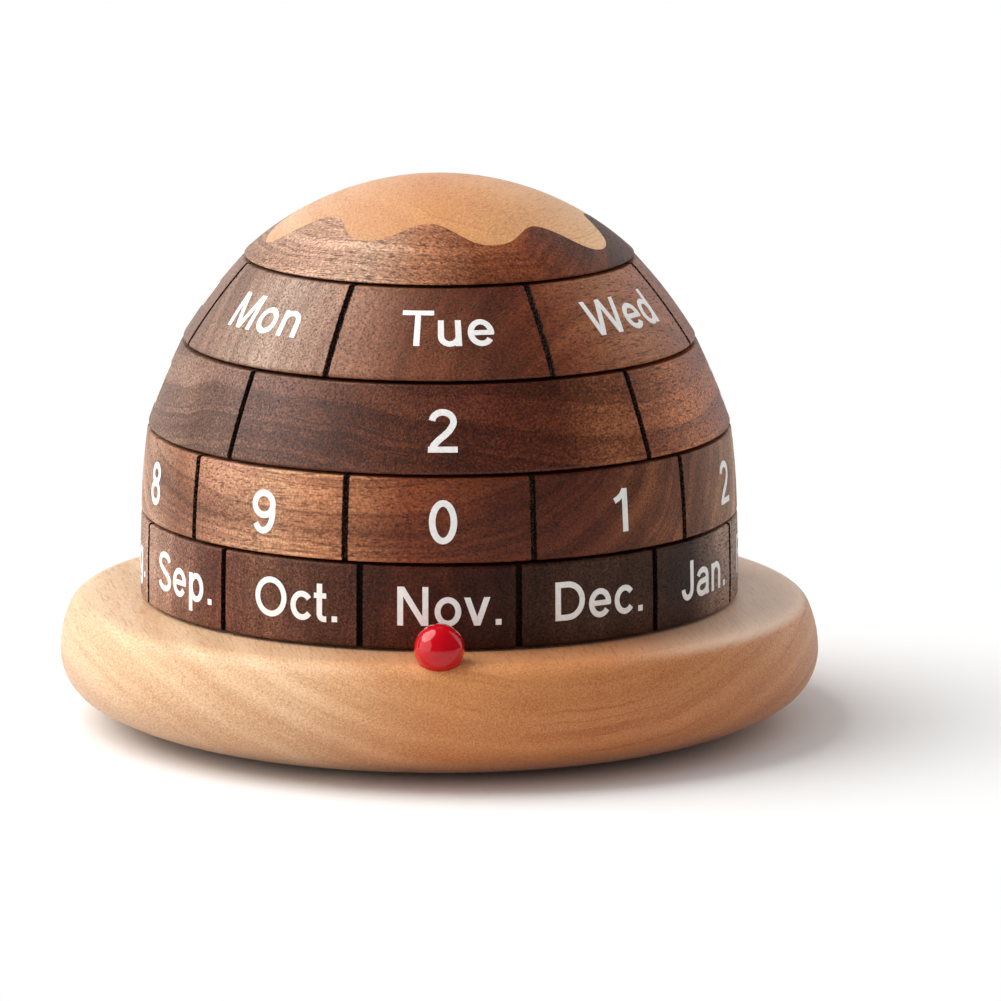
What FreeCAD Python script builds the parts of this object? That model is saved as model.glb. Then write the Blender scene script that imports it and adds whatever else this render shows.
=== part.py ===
"""Wooden dome calendar: a beech foot, four turning date rings and a fixed cap on one steel spindle.

Millimetres. The origin is the centre of the underside, +Z is up and the front, with the bead, is -Y.
"""
import FreeCAD, Part
import os
import Sketcher

V = FreeCAD.Vector

# The driving sizes. Each one is a cell of the sheet, under the same name.
SIZES = {
    # Foot: a turned beech disc with an egg-shaped edge and a drawn-in underside
    "base_radius": 62.5,
    "base_thickness": 20.2,
    "crown_radius": 60.0,
    "crown_turn": 2.0,
    "shoulder_radius": 3.5,
    "shoulder_turn": 64.0,
    "side_radius": 17.0,
    "flank_turn": 59.5,
    "belly_share": 2.62,
    # Felt under the foot, kept this far inside the ring that the foot stands on
    "felt_margin": 6.0,
    "felt_recess_depth": 0.7,
    "felt_proud": 0.5,
    "felt_fit": 0.3,
    # Dome: the step from the foot's edge in to it, how far each ring draws in and how far it swells
    "foot_ledge": 13.3,
    "month_taper": 0.2,
    "unit_taper": 1.1,
    "tens_taper": 5.6,
    "weekday_taper": 10.1,
    "month_swell": 0.08,
    "unit_swell": 0.2,
    "tens_swell": 0.2,
    "weekday_swell": 0.4,
    "month_height": 13.4,
    "unit_height": 13.6,
    "tens_height": 13.6,
    "weekday_height": 13.4,
    "cap_height": 12.8,
    "running_gap": 0.5,
    "rim_rounding": 0.45,
    "cap_rim_rounding": 0.2,
    # Grooves that part the rings into fields
    "groove_width": 1.0,
    "groove_depth": 1.1,
    "month_fields": 12,
    "unit_fields": 10,
    "tens_fields": 4,
    "weekday_fields": 7,
    # Spindle and what turns on it
    "spindle_radius": 5.0,
    "flange_radius": 14.0,
    "flange_thickness": 3.0,
    "flange_fit": 0.2,
    "running_fit": 0.05,
    "bush_wall": 3.0,
    "bush_fit": 0.03,
    "thrust_radius": 20.0,
    "washer_play": 0.3,
    "shoulder_drop": 0.4,
    # Screw from below
    "thread_radius": 3.0,
    "thread_fit": 0.05,
    "screw_play": 0.3,
    "screw_head_radius": 5.0,
    "screw_head_height": 6.0,
    "screw_engagement": 9.0,
    "screw_hole_spare": 2.0,
    "socket_flats": 5.0,
    "socket_depth": 3.0,
    "screw_washer_radius": 8.0,
    "screw_washer_thickness": 1.2,
    "counterbore_clearance": 1.0,
    "counterbore_spare": 0.8,
    # Wave washer and lock nut that load the stack
    "top_washer_radius": 9.0,
    "top_washer_thickness": 0.5,
    "recess_clearance": 4.0,
    "wave_radius": 6.0,
    "wave_thickness": 0.5,
    "wave_height": 1.0,
    "nut_flats": 10.0,
    "nut_height": 5.0,
    # Cap: threaded insert and light inlay
    "insert_wall": 1.5,
    "insert_length": 8.0,
    "insert_fit": 0.03,
    "stud_spare": 1.0,
    "inlay_floor": 2.0,
    "inlay_fit": 0.05,
    # Bead on the front of the foot
    "bead_radius": 4.05,
    "bead_inset": 5.2,
    "bead_rise": 2.3,
    "bead_fit": 0.03,
    "pin_radius": 0.8,
    "pin_length": 8.5,
    "pin_spare": 0.4,
    # Cutters reach this far past what they cut
    "overrun": 2.0,
}

# Wavy edge of the inlay: lobe angle from the front, its reach, next notch angle, its reach.
# The reaches are shares of the cap's radius.
LOBE_SHARES = [
    (-79.0, 0.865, -55.0, 0.640),
    (-29.0, 0.755, -4.0, 0.632),
    (21.0, 0.775, 42.5, 0.695),
    (66.0, 0.880, 90.0, 0.735),
    (115.0, 0.830, 141.0, 0.690),
    (168.0, 0.815, 197.0, 0.675),
    (226.0, 0.820, 254.0, 0.700),
]
LOBE_HALF_WIDTH = 7.0

doc = FreeCAD.newDocument("DomeCalendar")


class Size:
    """A length, angle or number with the words by which the sheet works it out."""

    def __init__(self, value, words):
        self.value = float(value)
        self.words = words

    def __add__(self, other):
        other = as_size(other)
        return Size(self.value + other.value, f"({self.words} + {other.words})")

    __radd__ = __add__

    def __sub__(self, other):
        other = as_size(other)
        return Size(self.value - other.value, f"({self.words} - {other.words})")

    def __rsub__(self, other):
        return as_size(other) - self

    def __mul__(self, other):
        other = as_size(other)
        return Size(self.value * other.value, f"({self.words} * {other.words})")

    __rmul__ = __mul__

    def __truediv__(self, other):
        other = as_size(other)
        return Size(self.value / other.value, f"({self.words} / {other.words})")

    def __rtruediv__(self, other):
        return as_size(other) / self

    def __neg__(self):
        return 0 - self


def as_size(number):
    return number if isinstance(number, Size) else Size(number, repr(number))


def size(name):
    return Size(SIZES[name], f"Sizes.{name}")


def root(number):
    return Size(number.value ** 0.5, f"sqrt({number.words})")


def sine(angle):
    return Size(V(1, 0, 0).cross(turned_by(angle)).z, f"sin({as_size(angle).words} * 1 deg)")


def cosine(angle):
    return Size(turned_by(angle).x, f"cos({as_size(angle).words} * 1 deg)")


def turned_by(angle):
    return FreeCAD.Rotation(V(0, 0, 1), as_size(angle).value).multVec(V(1, 0, 0))


ZERO = Size(0, "0")


def make_sheet():
    sheet = doc.addObject("Spreadsheet::Sheet", "Sizes")
    for row, (name, value) in enumerate(SIZES.items(), start=1):
        sheet.set(f"A{row}", name)
        sheet.set(f"B{row}", str(value))
        sheet.setAlias(f"B{row}", name)
    doc.recompute()


def bind(thing, prop, amount):
    thing.setExpression(prop, amount.words)


def place(thing, x=ZERO, y=ZERO, z=ZERO):
    thing.Placement.Base = V(x.value, y.value, z.value)
    for axis, amount in (("x", x), ("y", y), ("z", z)):
        bind(thing, f"Placement.Base.{axis}", amount)


# Sketches

def origin_plane(body, role):
    return next(item for item in body.Origin.OriginFeatures if item.Role == role)


def new_sketch(body, name, role):
    sketch = body.newObject("Sketcher::SketchObject", name)
    sketch.AttachmentSupport = (origin_plane(body, role), [""])
    sketch.MapMode = "FlatFace"
    return sketch


def bound_datum(sketch, kind, *parts):
    """Add one driven dimension; its last part is the Size it takes."""
    index = sketch.addConstraint(Sketcher.Constraint(kind, *parts[:-1], parts[-1].value))
    name = f"{kind}{index}"
    sketch.renameConstraint(index, name)
    bind(sketch, f"Constraints.{name}", parts[-1])


def pin_point(sketch, edge, end, x, y):
    """Hold one point of a sketch at (x, y) from its origin."""
    for amount, axis_line, kind in ((x, -2, "DistanceX"), (y, -1, "DistanceY")):
        if amount is ZERO:
            sketch.addConstraint(Sketcher.Constraint("PointOnObject", edge, end, axis_line))
        else:
            bound_datum(sketch, kind, -1, 1, edge, end, amount)


def closed_outline(sketch, corners, arcs):
    """Draw a closed outline through the corners; arcs maps an edge's number to a point it passes."""
    points = [V(x.value, y.value, 0) for x, y in corners]
    ends = []
    for number, start in enumerate(points):
        stop = points[(number + 1) % len(points)]
        if number in arcs:
            through = V(arcs[number][0].value, arcs[number][1].value, 0)
            edge = sketch.addGeometry(Part.Arc(start, through, stop), False)
            starts_here = sketch.getPoint(edge, 1).distanceToPoint(start)
            ends.append((edge, 1, 2) if starts_here < sketch.getPoint(edge, 2).distanceToPoint(start)
                        else (edge, 2, 1))
        else:
            ends.append((sketch.addGeometry(Part.LineSegment(start, stop), False), 1, 2))
    for number, (edge, first, last) in enumerate(ends):
        following = ends[(number + 1) % len(ends)]
        sketch.addConstraint(Sketcher.Constraint("Coincident", edge, last, following[0], following[1]))
        pin_point(sketch, edge, first, *corners[number])
        if number in arcs:
            x, y = arcs[number]
            guide = sketch.addGeometry(Part.Point(V(x.value, y.value, 0)), True)
            pin_point(sketch, guide, 1, x, y)
            sketch.addConstraint(Sketcher.Constraint("PointOnObject", guide, 1, edge))


# Kinds of piece

def new_body(label):
    body = doc.addObject("PartDesign::Body", label)
    body.Label = label
    return body


def turned(label, corners, arcs=None):
    """A piece turned about +Z: corners are (radius, height) pairs."""
    body = new_body(label)
    sketch = new_sketch(body, f"{label}_section", "XZ_Plane")
    closed_outline(sketch, corners, arcs or {})
    revolution = body.newObject("PartDesign::Revolution", f"{label}_turned")
    revolution.Profile = (sketch, [""])
    revolution.ReferenceAxis = (sketch, ["V_Axis"])
    revolution.Angle = 360
    doc.recompute()
    return body


def disc(label, outer, thickness, inner=None):
    """A flat washer or pad: one or two circles, padded."""
    body = new_body(label)
    sketch = new_sketch(body, f"{label}_outline", "XY_Plane")
    for radius in (outer, inner):
        if radius is not None:
            circle = sketch.addGeometry(Part.Circle(V(), V(0, 0, 1), radius.value), False)
            sketch.addConstraint(Sketcher.Constraint("Coincident", circle, 3, -1, 1))
            bound_datum(sketch, "Radius", circle, radius)
    pad = body.newObject("PartDesign::Pad", f"{label}_pad")
    pad.Profile = (sketch, [""])
    bind(pad, "Length", thickness)
    doc.recompute()
    return body


def round_rims(body, radius, heights):
    """Round the widest edge at each height, where the turned face meets a flat one."""
    turned_feature = body.Tip
    circles = [(edge.Curve, f"Edge{number}") for number, edge in enumerate(turned_feature.Shape.Edges, 1)
               if is_circle(edge)]
    names = []
    for height in heights:
        level = [(curve.Radius, name) for curve, name in circles
                 if abs(curve.Center.z - height.value) < radius.value]
        names.append(max(level)[1])
    fillet = body.newObject("PartDesign::Fillet", f"{body.Name}_rims")
    fillet.Base = (turned_feature, names)
    bind(fillet, "Radius", radius)
    body.Tip = fillet
    doc.recompute()


def is_circle(edge):
    return not edge.Degenerated and isinstance(edge.Curve, Part.Circle)


def cut_grooves(body, low, middle, high, height, fields):
    """Cut one groove between two fields and repeat it round the ring."""
    depth, past = size("groove_depth"), size("overrun")
    outside = low + past
    before = body.Shape.Volume
    sketch = new_sketch(body, f"{body.Name}_groove", "XZ_Plane")
    first_angle = 180 / fields - 90
    sketch.AttachmentOffset = FreeCAD.Placement(V(), FreeCAD.Rotation(V(0, 1, 0), first_angle.value))
    sketch.setExpression("AttachmentOffset.Rotation.Angle", f"{first_angle.words} * 1 deg")
    corners = [
        (low - depth, -past), (outside, -past), (outside, height + past), (high - depth, height + past),
        (high - depth, height), (low - depth, ZERO),
    ]
    closed_outline(sketch, corners, {4: (middle[0] - depth, middle[1])})
    pocket = body.newObject("PartDesign::Pocket", f"{body.Name}_cut")
    pocket.Profile = (sketch, [""])
    pocket.SideType = "Symmetric"
    bind(pocket, "Length", size("groove_width"))
    pocket.Refine = False
    doc.recompute()
    pattern = body.newObject("PartDesign::PolarPattern", f"{body.Name}_fields")
    pattern.Originals = [pocket]
    pattern.Axis = (origin_plane(body, "Z_Axis"), [""])
    pattern.Angle = 360
    bind(pattern, "Occurrences", fields)
    pattern.Refine = False
    body.Tip = pattern
    doc.recompute()
    removed = before - body.Shape.Volume
    one = size("groove_width").value * depth.value * height.value
    if not 0.8 < removed / (fields.value * one) < 1.3:
        raise RuntimeError(f"{body.Name}: its grooves take out {removed:.1f} cubic millimetres")


# Levels up the spindle, from the desk to the top of the cap

GAP = size("running_gap")
UNDERSIDE = size("felt_proud")
BASE_TOP = UNDERSIDE + size("base_thickness")
MONTH_LEVEL = BASE_TOP + GAP
UNIT_LEVEL = MONTH_LEVEL + size("month_height") + GAP
TENS_LEVEL = UNIT_LEVEL + size("unit_height") + GAP
WEEKDAY_LEVEL = TENS_LEVEL + size("tens_height") + GAP
CAP_LEVEL = WEEKDAY_LEVEL + size("weekday_height") + GAP
NUT_LEVEL = CAP_LEVEL - size("nut_height")
WAVE_LEVEL = NUT_LEVEL - size("wave_height")
HUB_TOP = WAVE_LEVEL - size("top_washer_thickness")
FLANGE_SEAT = BASE_TOP - size("flange_thickness")
HEAD_CEILING = UNDERSIDE + size("felt_recess_depth") + size("counterbore_spare") \
    + size("screw_head_height") + size("screw_washer_thickness")

BORE_RADIUS = size("spindle_radius") + size("running_fit")
BUSH_RADIUS = BORE_RADIUS + size("bush_wall")
INSERT_RADIUS = size("thread_radius") + size("insert_wall")


def swollen(low, high, height, swell):
    """The middle of a ring's outer face: off its chord by the swell, square to it."""
    lean = high - low
    chord = root(lean * lean + height * height)
    return (low + high) / 2 + swell * height / chord, height / 2 - swell * lean / chord


FOOT_RADIUS = size("base_radius") - size("foot_ledge")
UNIT_SEAM_RADIUS = FOOT_RADIUS - size("month_taper")
TENS_SEAM_RADIUS = UNIT_SEAM_RADIUS - size("unit_taper")
WEEKDAY_SEAM_RADIUS = TENS_SEAM_RADIUS - size("tens_taper")
CAP_SEAM_RADIUS = WEEKDAY_SEAM_RADIUS - size("weekday_taper")


def edge_chain():
    """Corners and arcs of the foot's edge, from the flat top round to the flat underside.

    A heading of 0 degrees runs outwards, 90 runs down and 180 runs back inwards.
    """
    headings = [ZERO, size("crown_turn"), size("crown_turn") + size("shoulder_turn"), as_size(90)]
    radii = [size("crown_radius"), size("shoulder_radius"), size("side_radius")]
    reach, drop = ZERO, ZERO
    for radius, start, stop in zip(radii, headings, headings[1:]):
        reach = reach + radius * (sine(stop) - sine(start))
        drop = drop + radius * (cosine(start) - cosine(stop))
    lower = size("base_thickness") - drop
    flank_end = 90 + size("flank_turn")
    belly = lower * size("belly_share")
    flank = (lower - belly * (1 + cosine(flank_end))) / -cosine(flank_end)
    radii += [flank, belly]
    headings += [flank_end, as_size(180)]
    corners, through = [(size("base_radius") - reach, size("base_thickness"))], []
    for radius, start, stop in zip(radii, headings, headings[1:]):
        x, z = corners[-1]
        middle = (start + stop) / 2
        for heading, found in ((middle, through), (stop, corners)):
            found.append((x + radius * (sine(heading) - sine(start)),
                          z + radius * (cosine(heading) - cosine(start))))
    return corners, through


EDGE_CORNERS, EDGE_POINTS = edge_chain()
FELT_RADIUS = EDGE_CORNERS[-1][0] - size("felt_margin")
BEAD_OUT = size("base_radius") - size("bead_inset")
BEAD_UP = BASE_TOP + size("bead_rise")


def make_base():
    corners = EDGE_CORNERS[:-1] + [(EDGE_CORNERS[-1][0], ZERO)]
    screw_hole = size("thread_radius") + size("screw_play")
    seat = size("base_thickness") - size("flange_thickness")
    socket = size("flange_radius") + size("flange_fit")
    felt_edge = FELT_RADIUS + size("felt_fit")
    ceiling = HEAD_CEILING - UNDERSIDE
    counterbore = size("screw_washer_radius") + size("counterbore_clearance")
    inside = [(screw_hole, ceiling), (screw_hole, seat), (socket, seat), (socket, size("base_thickness"))]
    below = [(felt_edge, ZERO), (felt_edge, size("felt_recess_depth")),
             (counterbore, size("felt_recess_depth")), (counterbore, ceiling)]
    arcs = {len(inside) + number: point for number, point in enumerate(EDGE_POINTS)}
    base = turned("base", inside + corners + below, arcs)
    place(base, z=UNDERSIDE)

    dimple = base.newObject("PartDesign::SubtractiveSphere", "bead_dimple")
    bind(dimple, "Radius", size("bead_radius") + size("bead_fit"))
    place(dimple, y=-BEAD_OUT, z=BEAD_UP - UNDERSIDE)
    doc.recompute()
    hole = base.newObject("PartDesign::SubtractiveCylinder", "pin_hole")
    deep = size("pin_length") + size("pin_spare")
    bind(hole, "Radius", size("pin_radius") + size("bead_fit"))
    bind(hole, "Height", deep)
    place(hole, y=-BEAD_OUT, z=BEAD_UP - UNDERSIDE - deep)
    doc.recompute()
    return base


def make_bead():
    """Red bead sunk a little into the foot, and the pin that holds it."""
    bead = new_body("pointer_bead")
    ball = bead.newObject("PartDesign::AdditiveSphere", "bead_ball")
    bind(ball, "Radius", size("bead_radius"))
    doc.recompute()
    hole = bead.newObject("PartDesign::SubtractiveCylinder", "bead_hole")
    deep = size("bead_radius") + size("overrun")
    bind(hole, "Radius", size("pin_radius") + size("bead_fit"))
    bind(hole, "Height", deep + size("pin_spare"))
    place(hole, z=-deep)
    doc.recompute()
    place(bead, y=-BEAD_OUT, z=BEAD_UP)

    pin = disc("bead_pin", size("pin_radius"), size("pin_length"))
    place(pin, y=-BEAD_OUT, z=BEAD_UP - size("pin_length"))
    return [bead, pin]


def make_felt():
    return disc("base_felt", FELT_RADIUS, size("felt_proud") + size("felt_recess_depth"))


def make_screw():
    """Socket-head screw that holds the spindle down, with its washer."""
    head, shank = size("screw_head_radius"), size("thread_radius")
    head_height = size("screw_head_height")
    length = FLANGE_SEAT + size("screw_engagement") - HEAD_CEILING \
        + size("screw_washer_thickness") + head_height
    screw = turned("spindle_screw", [
        (ZERO, ZERO), (head, ZERO), (head, head_height), (shank, head_height), (shank, length),
        (ZERO, length)])
    socket = screw.newObject("PartDesign::SubtractivePrism", "screw_socket")
    socket.Polygon = 6
    bind(socket, "Circumradius", size("socket_flats") / root(as_size(3)))
    bind(socket, "Height", size("socket_depth"))
    place(screw, z=HEAD_CEILING - size("screw_washer_thickness") - head_height)

    washer = disc("spindle_washer", size("screw_washer_radius"), size("screw_washer_thickness"),
                  shank + size("screw_play"))
    place(washer, z=HEAD_CEILING - size("screw_washer_thickness"))
    return [screw, washer]


def make_spindle():
    """Steel spindle: flange in the foot, plain post for the rings, threaded stud for nut and cap."""
    post, stud = size("spindle_radius"), size("thread_radius")
    bore = stud + size("thread_fit")
    bore_depth = size("screw_engagement") + size("screw_hole_spare")
    flange = size("flange_thickness")
    shoulder = HUB_TOP - size("shoulder_drop") - FLANGE_SEAT
    stud_top = CAP_LEVEL + size("insert_length") - size("stud_spare") - FLANGE_SEAT
    spindle = turned("spindle", [
        (bore, ZERO), (size("flange_radius"), ZERO), (size("flange_radius"), flange), (post, flange),
        (post, shoulder), (stud, shoulder), (stud, stud_top), (ZERO, stud_top), (ZERO, bore_depth),
        (bore, bore_depth)])
    place(spindle, z=FLANGE_SEAT)
    return spindle


def make_thrust_washers():
    """Thin slippery washers: each one carries the ring above it and keeps the running gap."""
    washers = []
    for label, top in (("month_thrust_washer", MONTH_LEVEL), ("unit_thrust_washer", UNIT_LEVEL),
                       ("tens_thrust_washer", TENS_LEVEL), ("weekday_thrust_washer", WEEKDAY_LEVEL)):
        washer = disc(label, size("thrust_radius"), GAP, size("spindle_radius") + size("washer_play"))
        place(washer, z=top - GAP)
        washers.append(washer)
    return washers


def make_ring(name, level, low, high, hub_height=None):
    """One walnut ring, parted into fields by grooves, and the bush pressed into it."""
    hole = BUSH_RADIUS + size("bush_fit")
    height = size(f"{name}_height")
    middle = swollen(low, high, height, size(f"{name}_swell"))
    corners = [(hole, ZERO), (low, ZERO), (high, height)]
    if hub_height is None:
        hub_height = height
        corners += [(hole, height)]
    else:
        recess = size("top_washer_radius") + size("recess_clearance")
        corners += [(recess, height), (recess, hub_height), (hole, hub_height)]
    ring = turned(f"{name}_ring", corners, {1: middle})
    round_rims(ring, size("rim_rounding"), [ZERO, height])
    cut_grooves(ring, low, middle, high, height, size(f"{name}_fields"))
    place(ring, z=level)

    bush = disc(f"{name}_bush", BUSH_RADIUS, hub_height, BORE_RADIUS)
    place(bush, z=level)
    return [ring, bush]


def make_stack_lock():
    """Flat washer, wave washer and nut that press lightly on the uppermost ring."""
    hole = size("thread_radius") + size("washer_play")
    washer = disc("top_washer", size("top_washer_radius"), size("top_washer_thickness"), hole)
    place(washer, z=HUB_TOP)

    nut = new_body("lock_nut")
    prism = nut.newObject("PartDesign::AdditivePrism", "nut_hexagon")
    prism.Polygon = 6
    bind(prism, "Circumradius", size("nut_flats") / root(as_size(3)))
    bind(prism, "Height", size("nut_height"))
    doc.recompute()
    bore = nut.newObject("PartDesign::SubtractiveCylinder", "nut_bore")
    bind(bore, "Radius", size("thread_radius") + size("thread_fit"))
    bind(bore, "Height", size("nut_height"))
    doc.recompute()
    place(nut, z=NUT_LEVEL)
    return [washer, make_wave_washer(hole), nut]


def cylinder(label, radius, height):
    tool = doc.addObject("Part::Cylinder", label)
    bind(tool, "Radius", radius)
    bind(tool, "Height", height)
    return tool


def boolean(kind, label, base, tool):
    result = doc.addObject(f"Part::{kind}", label)
    result.Base, result.Tool = base, tool
    result.Label = label
    doc.recompute()
    return result


def make_wave_washer(hole):
    """A bowed spring washer: a flat ring's outline cut from a thin lying tube."""
    outer, thickness, height = size("wave_radius"), size("wave_thickness"), size("wave_height")
    bow = height - thickness
    bend = (outer * outer + bow * bow) / (2 * bow)
    tubes = []
    for label, radius in (("wave_outside", bend), ("wave_inside", bend - thickness)):
        tube = cylinder(label, radius, 2 * outer)
        tube.Placement.Rotation = FreeCAD.Rotation(V(0, 1, 0), 90)
        place(tube, x=-outer, z=height - bend)
        tubes.append(tube)
    strip = boolean("Cut", "wave_strip", *tubes)
    blank = boolean("Common", "wave_blank", strip, cylinder("wave_edge", outer, height))
    washer = boolean("Cut", "wave_washer", blank, cylinder("wave_hole", hole, height))
    place(washer, z=WAVE_LEVEL)
    return washer


def wavy_face(label, grow):
    """The inlay's outline seen from above, each reach a share of the cap's radius."""
    cap_radius = CAP_SEAM_RADIUS.value
    points = []
    for lobe, lobe_share, notch, notch_share in LOBE_SHARES:
        for angle, share in ((lobe - LOBE_HALF_WIDTH, lobe_share), (lobe + LOBE_HALF_WIDTH, lobe_share),
                             (notch, notch_share)):
            direction = FreeCAD.Rotation(V(0, 0, 1), angle).multVec(V(0, -1, 0))
            points.append(direction * (share * cap_radius + grow.value))
    curve = Part.BSplineCurve()
    curve.interpolate(Points=points, PeriodicFlag=True)
    face = doc.addObject("Part::Feature", label)
    face.Shape = Part.Face(Part.Wire([curve.toShape()]))
    return face


def wavy_prism(label, grow, floor):
    """The wavy outline raised from a floor to above the dome."""
    prism = doc.addObject("Part::Extrusion", f"{label}_prism")
    prism.Base = wavy_face(f"{label}_outline", grow)
    prism.DirMode = "Custom"
    prism.Dir = V(0, 0, 1)
    prism.Solid = True
    bind(prism, "LengthFwd", size("cap_height"))
    place(prism, z=floor)
    return prism


def dome_blank(label):
    """The top of the dome, a slice of a ball, before the inlay is let in."""
    rim, height = CAP_SEAM_RADIUS, size("cap_height")
    ball = (rim * rim + height * height) / (2 * height)
    halfway = rim / 2
    crest = height - ball + root(ball * ball - halfway * halfway)
    blank = turned(label, [(ZERO, ZERO), (rim, ZERO), (ZERO, height)], {1: (halfway, crest)})
    round_rims(blank, size("cap_rim_rounding"), [ZERO])
    return blank


def make_cap():
    """Walnut cap and the light inlay let into it, both bored for the brass insert."""
    fit = size("inlay_fit")
    hole = INSERT_RADIUS + size("insert_fit")
    pocket = wavy_prism("cap_pocket", fit, size("inlay_floor"))
    hollowed = boolean("Cut", "cap_hollowed", dome_blank("cap_blank"), pocket)
    cap = boolean("Cut", "cap", hollowed, cylinder("cap_bore", hole, size("insert_length")))
    plug = wavy_prism("inlay", ZERO, size("inlay_floor") + fit)
    filled = boolean("Common", "inlay_blank", dome_blank("inlay_dome"), plug)
    inlay = boolean("Cut", "snow_inlay", filled, cylinder("inlay_bore", hole, size("insert_length")))
    insert = disc("cap_insert", INSERT_RADIUS, size("insert_length"),
                  size("thread_radius") + size("thread_fit"))
    for piece in (cap, inlay, insert):
        place(piece, z=CAP_LEVEL)
    return [cap, inlay, insert]


def make_parts():
    rings = [
        make_ring("month", MONTH_LEVEL, FOOT_RADIUS, UNIT_SEAM_RADIUS),
        make_ring("unit", UNIT_LEVEL, UNIT_SEAM_RADIUS, TENS_SEAM_RADIUS),
        make_ring("tens", TENS_LEVEL, TENS_SEAM_RADIUS, WEEKDAY_SEAM_RADIUS),
        make_ring("weekday", WEEKDAY_LEVEL, WEEKDAY_SEAM_RADIUS, CAP_SEAM_RADIUS, HUB_TOP - WEEKDAY_LEVEL),
    ]
    return [make_base(), make_felt(), make_spindle()] + make_screw() + make_bead() \
        + make_thrust_washers() + [piece for ring in rings for piece in ring] \
        + make_stack_lock() + make_cap()


def check_document():
    doc.recompute()
    for item in doc.Objects:
        if "Invalid" in item.State or "Error" in item.State:
            raise RuntimeError(f"{item.Label} did not build: {item.State}")


def write_parts(parts):
    os.makedirs("parts", exist_ok=True)
    for part in parts:
        shape = part.Shape
        if shape.isNull() or not shape.isValid() or len(shape.Solids) != 1:
            raise RuntimeError(f"{part.Label} is not one sound solid")
        shape.exportStep(f"parts/{part.Label}.step")
        box = shape.BoundBox
        print(f"{part.Label:22s} {shape.Volume:10.1f} mm3  z {box.ZMin:6.2f} to {box.ZMax:6.2f}"
              f"  x {box.XMin:7.2f} to {box.XMax:6.2f}")


make_sheet()
parts = make_parts()
check_document()
write_parts(parts)
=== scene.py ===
# %% [markdown]
# # A wooden dome calendar for the desk
# Four walnut rings turn on a hidden spindle between a beech foot and a walnut cap. The solids come from the
# construction model and stay as they are. This notebook gives them their woods, lacquer and metal, letters the
# rings, and sets up light, floor and camera. All lengths are in metres, +Z is up and the front is -Y.

# %% Load the solids
import math

import bpy
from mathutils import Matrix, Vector
from mathutils.geometry import delaunay_2d_cdt


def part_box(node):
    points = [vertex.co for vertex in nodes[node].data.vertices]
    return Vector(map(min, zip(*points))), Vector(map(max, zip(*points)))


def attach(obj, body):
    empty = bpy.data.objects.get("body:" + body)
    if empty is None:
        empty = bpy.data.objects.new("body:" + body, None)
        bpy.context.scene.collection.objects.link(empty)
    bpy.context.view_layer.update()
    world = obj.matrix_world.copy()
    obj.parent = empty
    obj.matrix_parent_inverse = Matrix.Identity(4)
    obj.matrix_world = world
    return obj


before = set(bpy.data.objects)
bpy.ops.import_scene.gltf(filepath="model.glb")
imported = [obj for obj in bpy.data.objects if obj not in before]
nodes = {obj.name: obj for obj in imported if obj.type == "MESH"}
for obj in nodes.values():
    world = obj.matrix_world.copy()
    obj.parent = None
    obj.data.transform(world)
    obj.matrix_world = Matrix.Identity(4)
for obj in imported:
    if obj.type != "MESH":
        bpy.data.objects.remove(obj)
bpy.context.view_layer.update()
bpy.ops.object.select_all(action="DESELECT")
MM = 0.001

# %% [markdown]
# ## Where the rings are
# Each ring's outer face is a shallow arc turned about the spindle. Lettering has to lie on that face, so the
# notebook needs the arc: the radius at the bottom and top edge, the height, and how far the face swells
# beyond the straight line between them. The level is read from the solid itself.

# %% Faces of the four rings
RINGS = {
    "month": {"low": 49.2, "high": 49.0, "height": 13.4, "swell": 0.08, "fields": 12},
    "unit": {"low": 49.0, "high": 47.9, "height": 13.6, "swell": 0.2, "fields": 10},
    "tens": {"low": 47.9, "high": 42.3, "height": 13.6, "swell": 0.2, "fields": 4},
    "weekday": {"low": 42.3, "high": 32.2, "height": 13.4, "swell": 0.4, "fields": 7},
}
for name, ring in RINGS.items():
    ring["level"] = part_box(f"{name}_ring")[0].z / MM
    print(name, "ring starts at", round(ring["level"], 2), "mm")


def ring_face(ring, up, out):
    """Radius and height, in mm, of the point this far up the ring's outer face and this far off it."""
    run, rise = ring["high"] - ring["low"], ring["height"]
    chord = math.hypot(run, rise)
    bend = (chord * chord / 4 + ring["swell"] ** 2) / (2 * ring["swell"])
    lean = (up - chord / 2) / bend
    radial, axial = rise / chord, -run / chord
    along, off = bend * math.sin(lean), ring["swell"] - bend * (1 - math.cos(lean))
    off_here = off + out * math.cos(lean)
    along_here = along + out * math.sin(lean)
    radius = (ring["low"] + ring["high"]) / 2 + radial * off_here - axial * along_here
    height = rise / 2 + axial * off_here + radial * along_here
    return radius, ring["level"] + height


for name, ring in RINGS.items():
    print(name, "face at half height:", [round(v, 2) for v in ring_face(ring, ring["height"] / 2, 0.0)])

# %% [markdown]
# ## A plain alphabet
# The fields are lettered in a plain sans: even strokes, flat ends, square full stops. A font file can't be
# counted on, so each letter is drawn from a few strokes, as a sign painter would: slanted and upright strokes
# that end level, bars, and bows. Sizes are in thousandths of the type size, and capitals are 716 high.

# %% Sizes of the signs
CAPITALS, DIGITS, SMALL = 716.0, 703.0, 519.0
STROKE = 108.0
HALF = STROKE / 2
BAR_HALF = HALF * 0.9
# The longest side of an outline, then in degrees the longest step along a bow and what two half bowls overlap.
STEP, BOW_STEP, OVERLAP = 105.0, 13, 13
print("upright stroke:", STROKE, "level stroke:", 2 * BAR_HALF)


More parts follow.
